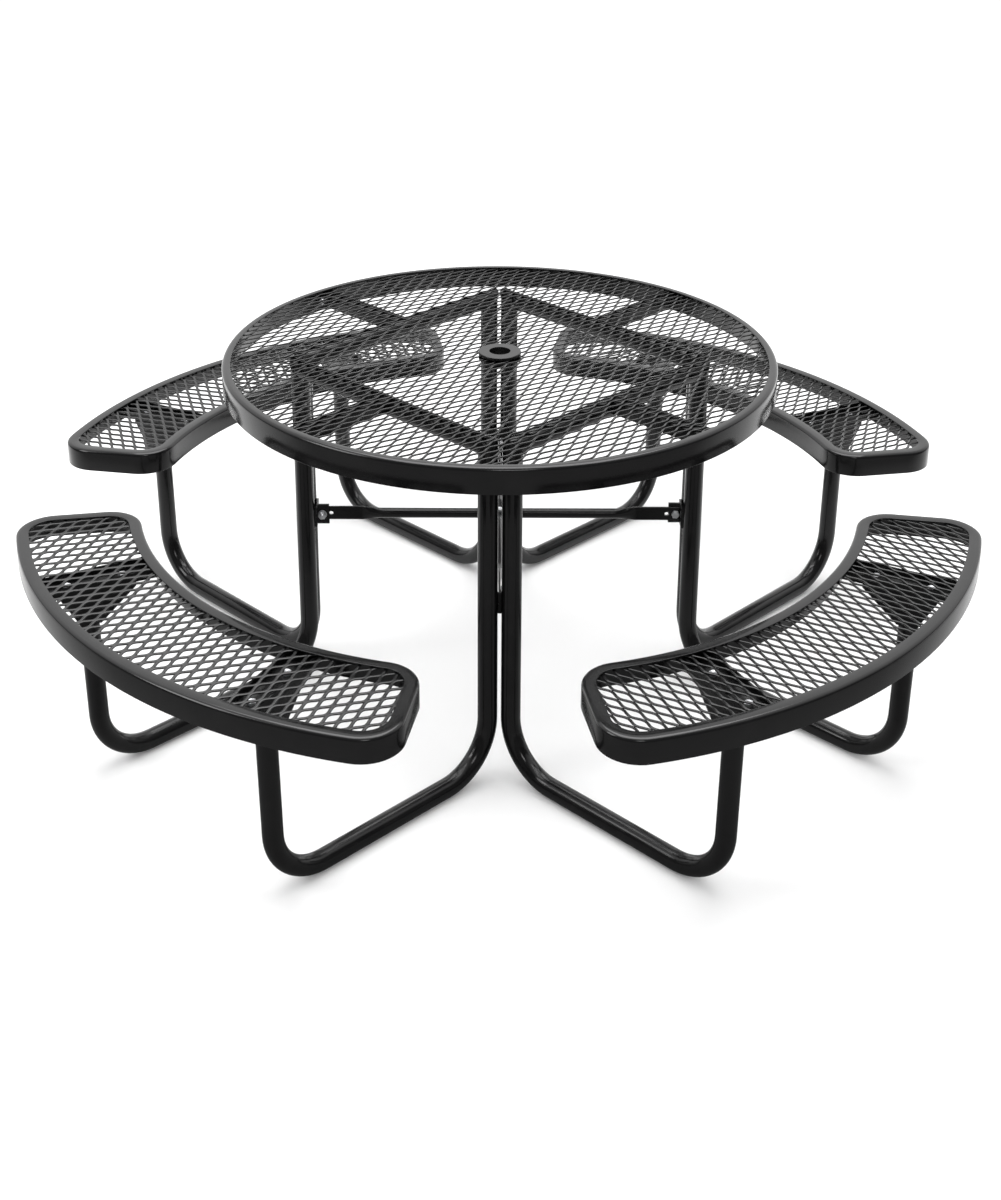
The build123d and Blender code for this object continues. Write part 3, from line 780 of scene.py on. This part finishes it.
@dataclass
class HexBolt:
    """Hex bolt with its head above Z 0, a grip below it, then washer, nut and thread.

    Attributes:
        shank: Shank diameter.
        flats: Width across the flats.
        head: Head height.
        nut: Nut height.
        washer: Washer diameter.
        washer_thickness: Washer thickness.
        grip: Thickness of what it clamps.
        tail: Thread left beyond the nut.
        pitch: Thread pitch.
    """

    shank: float
    flats: float
    head: float
    nut: float
    washer: float
    washer_thickness: float
    grip: float
    tail: float = 4.0 * MM
    pitch: float = 1.5 * MM

    def ring(self, bm: bmesh.types.BMesh, radius: float, z: float, count: int, hexed: float = 0.0) -> list:
        """Add a ring of vertices.

        Args:
            bm: The mesh under work.
            radius: Ring radius, or the largest radius of a hexagon's corner.
            z: Height.
            count: Number of vertices, a multiple of six.
            hexed: Width across flats, or 0 for a round ring.

        Returns:
            The ring's vertices.
        """
        made = []
        for i in range(count):
            a = math.tau * i / count
            r = radius
            if hexed:
                part = (a + math.pi / 6) % (math.pi / 3) - math.pi / 6
                r = min(radius, hexed / 2 / math.cos(part))
            made.append(bm.verts.new((r * math.cos(a), r * math.sin(a), z)))
        return made

    def lathe(self, bm: bmesh.types.BMesh, rows: Sequence[tuple[float, float, float]], count: int = 24) -> None:
        """Join rings of (radius, height, width across flats) into one closed skin."""
        rings = [self.ring(bm, r, z, count, hexed) for r, z, hexed in rows]
        for low, high in zip(rings, rings[1:]):
            for i in range(count):
                j = (i + 1) % count
                bm.faces.new((low[i], low[j], high[j], high[i]))
        bm.faces.new(list(reversed(rings[0])))
        bm.faces.new(rings[-1])

    def hexagon(self, bm: bmesh.types.BMesh, bottom: float, height: float, chamfer_low: bool, chamfer_high: bool,
                dished: bool) -> None:
        """Add a chamfered hexagon prism, as a bolt head or a nut."""
        corner = self.flats / 2 / math.cos(math.pi / 6)
        inner = self.flats / 2 * 0.96
        drop = (corner - inner) * 0.5
        rows = [(inner, bottom, self.flats)] if chamfer_low else []
        rows.append((corner, bottom + (drop if chamfer_low else 0), self.flats))
        rows.append((corner, bottom + height - (drop if chamfer_high else 0), self.flats))
        if chamfer_high:
            rows.append((inner, bottom + height, self.flats))
        if dished:
            rows.append((inner * 0.80, bottom + height, 0.0))
            rows.append((inner * 0.72, bottom + height - 0.35 * MM, 0.0))
        self.lathe(bm, rows)

    def model(self, name: str) -> bpy.types.Object:
        """Build the bolt, washer and nut as closed shells in one mesh."""
        bm = bmesh.new()
        self.hexagon(bm, 0.0, self.head, False, True, True)
        top = -self.grip
        half = self.washer / 2
        self.lathe(bm, [(half - 0.3 * MM, top - self.washer_thickness, 0), (half, top - self.washer_thickness + 0.3 * MM, 0),
                        (half, top - 0.3 * MM, 0), (half - 0.3 * MM, top, 0)])
        nut_top = top - self.washer_thickness
        self.hexagon(bm, nut_top - self.nut, self.nut, True, True, False)
        end = nut_top - self.nut - self.tail
        rows: list[tuple[float, float, float]] = [(self.shank / 2 - 1.0 * MM, end, 0.0)]
        z = end + 0.6 * MM
        while z < nut_top - self.nut:
            rows.append((self.shank / 2 - 0.45 * MM, z, 0.0))
            rows.append((self.shank / 2, z + self.pitch / 2, 0.0))
            z += self.pitch
        rows.append((self.shank / 2, self.head * 0.5, 0.0))
        self.lathe(bm, rows, 18)
        bmesh.ops.recalc_face_normals(bm, faces=bm.faces)
        mesh = bpy.data.meshes.new(name)
        bm.to_mesh(mesh)
        bm.free()
        mesh.shade_smooth()
        mesh.set_sharp_from_angle(angle=math.radians(35))
        return new_object(name, mesh)


@dataclass
class Fasteners:
    """Every bolt set of the table, with washers and nuts.

    Attributes:
        seat_height: Height of the seat bolts' heads, on the seat channels' floor.
        bench_middle: Radius of a bench's middle line.
        post_angle: Angle of the seat channels from the bench's middle, in degrees.
        seat_spread: Distance between a channel's two bolts.
        arm_bolt: Place of an arm bolt's head on the +X side.
        brace_bolt: Place of a brace bolt's head on the +X side.
        crossing: Place of the head where the braces cross.
    """

    seat_height: float = 432.0 * MM
    bench_middle: float = 895.0 * MM
    post_angle: float = 17.9535
    seat_spread: float = 110.0 * MM
    arm_bolt: tuple[float, float, float] = (560.0 * MM, 20.0 * MM, 739.5 * MM)
    brace_bolt: tuple[float, float, float] = (387.0 * MM, -2.5 * MM, 383.0 * MM)
    crossing: tuple[float, float, float] = (0.0, 0.0, 388.0 * MM)

    def seat_points(self) -> tuple[list[Vector], list[Vector]]:
        """Places and facings of the seat bolts."""
        places, facings = [], []
        for angle in CORNERS.values():
            for side in (-self.post_angle, self.post_angle):
                for shift in (-self.seat_spread / 2, self.seat_spread / 2):
                    places.append(turned((self.bench_middle + shift, 0, self.seat_height), angle + side))
                    facings.append(Vector((0, 0, 1)))
        return places, facings

    def ring_points(self, place: Sequence[float], facing: Sequence[float], angles: Iterable[float]
                    ) -> tuple[list[Vector], list[Vector]]:
        """Places and facings of one bolt repeated about the vertical axis."""
        turns = list(angles)
        return [turned(place, a) for a in turns], [turned(facing, a) for a in turns]

    def build(self, material: bpy.types.Material) -> None:
        """Build the four sets of fasteners."""
        tree, ids = build_scatter_tree()
        m10 = {"shank": 10 * MM, "flats": 16 * MM, "head": 6.4 * MM, "nut": 8.4 * MM, "washer": 20 * MM,
               "washer_thickness": 2 * MM}
        m8 = {"shank": 8 * MM, "flats": 13 * MM, "head": 5.3 * MM, "nut": 6.8 * MM, "washer": 16 * MM,
              "washer_thickness": 1.6 * MM, "pitch": 1.25 * MM}
        sets = [
            ("seat", HexBolt(grip=9 * MM, **m10), self.seat_points()),
            ("arm", HexBolt(grip=7 * MM, **m8), self.ring_points(self.arm_bolt, (0, 1, 0), CORNERS.values())),
            ("brace", HexBolt(grip=11 * MM, **m10), self.ring_points(self.brace_bolt, (0, -1, 0), SIDES.values())),
            ("crossing", HexBolt(grip=10 * MM, **m10), self.ring_points(self.crossing, (0, 0, 1), [0.0])),
        ]
        for seed, (name, bolt, (places, facings)) in enumerate(sets):
            model = bolt.model(f"{name}_bolt_model")
            carrier = new_object(f"{name}_carrier", vertex_mesh(f"{name}_carrier", places, facings))
            values = {ids["Model"]: model, ids["Spin Seed"]: seed, ids["Material"]: material}
            piece = apply_tree(carrier, tree, values, f"{name}_fasteners")
            bpy.data.objects.remove(model)
            finish_piece(piece, [f"{name}_bolts", f"{name}_nuts_washers"])


# ---------------------------------------------------------------- welds


def build_bead_tree() -> tuple[bpy.types.NodeTree, dict[str, str]]:
    """Build the tree that lays a rippled weld bead along every edge chain of a mesh.

    Returns:
        The tree, and the identifiers of its inputs by name.
    """
    tree = bpy.data.node_groups.new("weld_bead", "GeometryNodeTree")
    ids = {"Geometry": add_input(tree, "Geometry", "NodeSocketGeometry")}
    for name, kind in (("Bead Radius", "NodeSocketFloat"), ("Ripple Length", "NodeSocketFloat"),
                       ("Ripple Depth", "NodeSocketFloat"), ("Material", "NodeSocketMaterial")):
        ids[name] = add_input(tree, name, kind)
    add_output(tree, "Geometry", "NodeSocketGeometry")
    nodes = tree.nodes
    enter, leave = nodes.new("NodeGroupInput"), nodes.new("NodeGroupOutput")
    path = nodes.new("GeometryNodeMeshToCurve")
    link(tree, enter.outputs["Geometry"], path.inputs["Mesh"])
    even = nodes.new("GeometryNodeResampleCurve")
    even.mode = "LENGTH"
    link(tree, path.outputs[0], even.inputs["Curve"])
    link(tree, math_node(tree, "DIVIDE", enter.outputs["Ripple Length"], 4.0), even.inputs["Length"])
    along = nodes.new("GeometryNodeSplineParameter")
    phase = math_node(tree, "MULTIPLY", math_node(tree, "DIVIDE", along.outputs["Length"],
                                                  enter.outputs["Ripple Length"]), math.tau)
    wave = math_node(tree, "MULTIPLY", math_node(tree, "SINE", phase), enter.outputs["Ripple Depth"])
    bulge = math_node(tree, "ADD", wave, 1.0)
    sized = nodes.new("GeometryNodeSetCurveRadius")
    link(tree, even.outputs[0], sized.inputs["Curve"])
    link(tree, bulge, sized.inputs["Radius"])
    section = nodes.new("GeometryNodeCurvePrimitiveCircle")
    section.inputs["Resolution"].default_value = 8
    link(tree, enter.outputs["Bead Radius"], section.inputs["Radius"])
    swept = nodes.new("GeometryNodeCurveToMesh")
    swept.inputs["Fill Caps"].default_value = True
    radius = nodes.new("GeometryNodeInputRadius")
    link(tree, radius.outputs[0], swept.inputs["Scale"])
    link(tree, sized.outputs[0], swept.inputs["Curve"])
    link(tree, section.outputs[0], swept.inputs["Profile Curve"])
    smooth = nodes.new("GeometryNodeSetShadeSmooth")
    link(tree, swept.outputs[0], smooth.inputs["Geometry"])
    solid = nodes.new("GeometryNodeRealizeInstances")
    link(tree, smooth.outputs[0], solid.inputs["Geometry"])
    painted = nodes.new("GeometryNodeSetMaterial")
    link(tree, solid.outputs[0], painted.inputs["Geometry"])
    link(tree, enter.outputs["Material"], painted.inputs["Material"])
    link(tree, painted.outputs[0], leave.inputs[0])
    return tree, ids


@dataclass
class Welds:
    """Weld beads under the coating.

    Attributes:
        tube: Radius of the frame tube.
        leg_u: Distance of a frame's leg plane from the axis.
        side_v: Distance of a leg from the frame's middle.
        rail_height: Height of the top rail's centre line.
        leg_radius: Radius of a pair of legs from the axis.
        pair_offset: Half the distance between the two legs of a pair.
        bench_middle: Radius of a bench's middle line.
        post_angle: Angle of the posts from the bench's middle, in degrees.
        post_outset: Distance of a post's top outward from the bench's middle line.
        bracket_depth: Depth of a post bracket.
        bracket_half: Half the width inside a post bracket.
        channel_bottom: Height of the seat channels' underside.
        bench_inner: Inner radius of a bench.
        bench_outer: Outer radius of a bench.
        channel_half: Half the width of a seat channel.
        paths: Bead paths collected so far, by set.
    """

    tube: float = 20.0 * MM
    leg_u: float = 315.01 * MM
    side_v: float = 281.78 * MM
    rail_height: float = 733.0 * MM
    leg_radius: float = 422.0 * MM
    pair_offset: float = 23.5 * MM
    bench_middle: float = 895.0 * MM
    post_angle: float = 17.9535
    post_outset: float = 19.5 * MM
    bracket_depth: float = 75.0 * MM
    bracket_half: float = 20.5 * MM
    channel_bottom: float = 428.0 * MM
    bench_inner: float = 771.0 * MM
    bench_outer: float = 1019.0 * MM
    channel_half: float = 30.0 * MM
    paths: dict[str, list[list[Vector]]] = field(default_factory=dict)

    def keep(self, name: str, points: Iterable[Vector]) -> None:
        """Add a bead path to a set."""
        self.paths.setdefault(name, []).append(list(points))

    def mitre(self, angle: float) -> None:
        """Beads round a frame's two mitred corners."""
        for side in (-1, 1):
            points = []
            for i in range(33):
                a = math.tau * i / 32
                across, out = self.tube * math.cos(a), self.tube * math.sin(a)
                points.append(turned((self.leg_u + across, side * (self.side_v + out), self.rail_height + out), angle))
            self.keep("mitre_welds", points)

    def lug(self, side_name: str) -> None:
        """Beads between a lug's edges and its two legs."""
        face = self.leg_radius - self.tube
        low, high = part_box(f"brace_lug_{side_name}")
        bottom, top = low.z + 2.0 * MM, high.z - 2.0 * MM
        for side in (-1, 1):
            points = [turned((face + 0.4 * MM, side * self.pair_offset, bottom + (top - bottom) * k / 4),
                             SIDES[side_name]) for k in range(5)]
            self.keep("lug_welds", points)

    def bracket(self, angle: float) -> None:
        """Beads down both flanges of a post bracket, beside the post."""
        radius = self.bench_middle + self.post_outset
        for side in (-1, 1):
            for edge in (-1, 1):
                points = []
                for k in range(6):
                    z = self.channel_bottom - 8 * MM - (self.bracket_depth - 10 * MM) * k / 5
                    points.append(turned((radius + edge * (self.tube * 0.55) - 1.0 * MM * (1 - k / 5),
                                          side * (self.bracket_half - 2.6 * MM), z), angle))
                self.keep("bracket_welds", points)

    def channel(self, angle: float) -> None:
        """Beads where a seat channel's floor meets the bench rim."""
        for radius, sign in ((self.bench_inner, 1), (self.bench_outer, -1)):
            points = []
            for k in range(7):
                y = self.channel_half * (k / 3 - 1) * 0.95
                x = math.sqrt(radius * radius - y * y) + sign * 0.6 * MM
                points.append(turned((x, y, self.channel_bottom), angle))
            self.keep("channel_welds", points)

    def build(self, material: bpy.types.Material) -> None:
        """Collect the paths and lay a bead along each."""
        for angle in CORNERS.values():
            self.mitre(angle)
            for side in (-self.post_angle, self.post_angle):
                self.bracket(angle + side)
                self.channel(angle + side)
        for side_name in SIDES:
            self.lug(side_name)
        tree, ids = build_bead_tree()
        for name, paths in self.paths.items():
            mesh = bpy.data.meshes.new(name + "_paths")
            verts = [tuple(p) for path in paths for p in path]
            edges, start = [], 0
            for path in paths:
                edges += [(start + i, start + i + 1) for i in range(len(path) - 1)]
                start += len(path)
            mesh.from_pydata(verts, edges, [])
            values = {ids["Bead Radius"]: 2.2 * MM, ids["Ripple Length"]: 3.2 * MM, ids["Ripple Depth"]: 0.14,
                      ids["Material"]: material}
            piece = apply_tree(new_object(name + "_paths", mesh), tree, values, name)
            finish_piece(piece)


# ---------------------------------------------------------------- plates with rounded edges


@dataclass
class CoatedPlates:
    """Cut and folded plates, whose edges the coating rounds.

    Attributes:
        prefixes: Beginnings of the CAD nodes' names that are plates.
        radius: Radius that the coating leaves on an edge.
    """

    prefixes: tuple[str, ...] = ("post_bracket", "seat_channel", "table_arm", "brace_lug", "rim_tabs")
    radius: float = 1.0 * MM

    def build(self, material: bpy.types.Material) -> None:
        """Copy each plate's mesh, round its edges and show it in place of the node."""
        names = [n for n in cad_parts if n.startswith(self.prefixes)]
        for name in names:
            bm = bmesh.new()
            bm.from_mesh(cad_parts[name].data)
            bmesh.ops.remove_doubles(bm, verts=bm.verts, dist=0.00001)
            bmesh.ops.dissolve_limit(bm, angle_limit=math.radians(1.0), verts=bm.verts, edges=bm.edges)
            sharp = [e for e in bm.edges if len(e.link_faces) == 2 and e.calc_face_angle(0.0) > math.radians(40)]
            bmesh.ops.bevel(bm, geom=sharp, offset=self.radius, segments=2, profile=0.6, affect="EDGES",
                            clamp_overlap=True)
            bmesh.ops.triangulate(bm, faces=[f for f in bm.faces if len(f.verts) > 4])
            bmesh.ops.recalc_face_normals(bm, faces=bm.faces)
            mesh = bpy.data.meshes.new(name + "_coated")
            bm.to_mesh(mesh)
            bm.free()
            mesh.shade_smooth()
            mesh.set_sharp_from_angle(angle=math.radians(50))
            mesh.materials.clear()
            mesh.materials.append(material)
            finish_piece(new_object(name + "_coated", mesh), [name])


# ---------------------------------------------------------------- carried-over nodes


@dataclass
class CarriedNodes:
    """CAD nodes whose shape is right and that only need a finish.

    Attributes:
        tube_prefixes: Beginnings of the names of tube nodes.
    """

    tube_prefixes: tuple[str, ...] = ("frame_leg", "frame_rail", "cross_brace")

    def dress(self, tube: bpy.types.Material, rest: bpy.types.Material) -> None:
        """Give every shown CAD node its material."""
        for name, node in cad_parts.items():
            if node.hide_render:
                continue
            material = tube if name.startswith(self.tube_prefixes) else rest
            node.data.materials.clear()
            node.data.materials.append(material)
            LOG.info("%s: finish %s", name, material.name)


# ---------------------------------------------------------------- stage


@dataclass
class Studio:
    """Pale floor, soft light and the camera.

    Attributes:
        floor_half: Half the floor's width.
        floor_white: Brightness of the floor.
        floor_front: Brightness that the coating mirrors from the floor in front: painted shade, which only reflected
            and bounced rays see.
        camera_place: Camera place.
        camera_turn: Camera rotation, in degrees.
        lens: Focal length for a 36 mm long side.
        shift: Vertical lens shift, in long sides.
        world: Strength of the surrounding light behind and overhead.
        front_world: Strength of the surrounding light in front.
    """

    floor_half: float = 30.0
    floor_white: float = 0.94
    floor_front: float = 0.16
    camera_place: tuple[float, float, float] = (-0.01629, -3.50565, 2.12127)
    camera_turn: tuple[float, float, float] = (69.0349, -0.2741, -0.1821)
    lens: float = 53.208
    shift: float = -0.2125
    world: float = 1.2
    front_world: float = 0.12

    def floor(self) -> None:
        """Make the floor, evenly white to the camera and painted darker in front for reflected and bounced rays."""
        half = self.floor_half
        mesh = bpy.data.meshes.new("floor")
        mesh.from_pydata([(-half, -half, 0), (half, -half, 0), (half, half, 0), (-half, half, 0)], [], [(0, 1, 2, 3)])
        material = bpy.data.materials.new("pale_floor")
        material.use_nodes = True
        tree = material.node_tree
        shader = tree.nodes["Principled BSDF"]
        split = tree.nodes.new("ShaderNodeSeparateXYZ")
        link(tree, tree.nodes.new("ShaderNodeTexCoord").outputs["Object"], split.inputs[0])
        # Painted shade: the floor darkens towards the front for all but camera rays, so the coating mirrors a dark
        # front.
        painted_front_shade = math_node(tree, "MULTIPLY_ADD", split.outputs["Y"], 0.45, 0.45)
        painted_front_shade = math_node(tree, "MAXIMUM", math_node(tree, "MINIMUM", painted_front_shade, self.floor_white), self.floor_front)
        seen = tree.nodes.new("ShaderNodeLightPath").outputs["Is Camera Ray"]
        shade = math_node(tree, "MAXIMUM", painted_front_shade, math_node(tree, "MULTIPLY", seen, self.floor_white))
        tone = tree.nodes.new("ShaderNodeCombineColor")
        for socket in tone.inputs:
            link(tree, shade, socket)
        link(tree, tone.outputs[0], shader.inputs["Base Color"])
        shader.inputs["Roughness"].default_value = 0.9
        shader.inputs["Specular IOR Level"].default_value = 0.1
        mesh.materials.append(material)
        new_object("floor", mesh)

    def surroundings(self) -> None:
        """Set the surrounding light: a white sweep behind and overhead, and a dim side in front."""
        world = bpy.data.worlds.new("studio")
        world.use_nodes = True
        tree = world.node_tree
        background = tree.nodes["Background"]
        background.inputs["Color"].default_value = (1.0, 1.0, 1.0, 1.0)
        split = tree.nodes.new("ShaderNodeSeparateXYZ")
        link(tree, tree.nodes.new("ShaderNodeTexCoord").outputs["Generated"], split.inputs[0])
        back = math_node(tree, "MULTIPLY_ADD", split.outputs["Y"], 0.55,
                         math_node(tree, "MULTIPLY", split.outputs["Z"], 0.55))
        ramp = math_node(tree, "SMOOTH_MIN", math_node(tree, "MULTIPLY_ADD", back, 2.2, -0.15), 1.0, 0.3)
        lit = math_node(tree, "MAXIMUM", math_node(tree, "MULTIPLY", ramp, self.world), self.front_world)
        path = tree.nodes.new("ShaderNodeLightPath")
        even = math_node(tree, "MAXIMUM", path.outputs["Is Camera Ray"], path.outputs["Is Diffuse Ray"])
        strength = math_node(tree, "MAXIMUM", lit, even)
        link(tree, strength, background.inputs["Strength"])
        bpy.context.scene.world = world

    def lamp(self, name: str, place: Sequence[float], size: float, power: float) -> None:
        """Add a soft square light that faces the table."""
        data = bpy.data.lights.new(name, "AREA")
        data.shape, data.size, data.energy = "SQUARE", size, power
        lamp = bpy.data.objects.new(name, data)
        lamp.location = place
        direction = Vector((0, 0, 0.5)) - Vector(place)
        lamp.rotation_mode = "QUATERNION"
        lamp.rotation_quaternion = direction.to_track_quat("-Z", "Y")
        bpy.context.scene.collection.objects.link(lamp)

    def camera(self) -> None:
        """Place the camera."""
        data = bpy.data.cameras.new("camera")
        data.sensor_width = 36.0
        data.lens = self.lens
        data.shift_y = self.shift
        data.clip_start, data.clip_end = 0.05, 200.0
        camera = bpy.data.objects.new("camera", data)
        camera.location = self.camera_place
        camera.rotation_euler = [math.radians(a) for a in self.camera_turn]
        bpy.context.scene.collection.objects.link(camera)
        bpy.context.scene.camera = camera

    def build(self) -> None:
        """Build the stage."""
        self.floor()
        self.surroundings()
        self.lamp("overhead", (0.0, 0.6, 4.6), 4.0, 190.0)
        self.lamp("side", (-3.6, -1.4, 3.0), 1.6, 40.0)
        self.lamp("front", (0.4, -4.4, 3.4), 1.2, 18.0)
        self.camera()
        bpy.context.scene.view_settings.view_transform = "Standard"


# ---------------------------------------------------------------- main


def main() -> None:
    logging.basicConfig(level=logging.INFO, format="%(message)s")
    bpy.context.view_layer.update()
    wear = build_wear_group()
    Studio().build()
    ExpandedSheets().build(SHEET_COATING.build(wear))
    Fasteners().build(ZINC_PLATE.build(wear))
    Welds().build(WELD_COATING.build(wear))
    CoatedPlates().build(PLATE_COATING.build(wear))
    rim_coating = RIM_COATING.build(wear)
    RolledRims().build(rim_coating)
    CarriedNodes().dress(TUBE_COATING.build(wear), rim_coating)


if __name__ == "__main__":
    main()
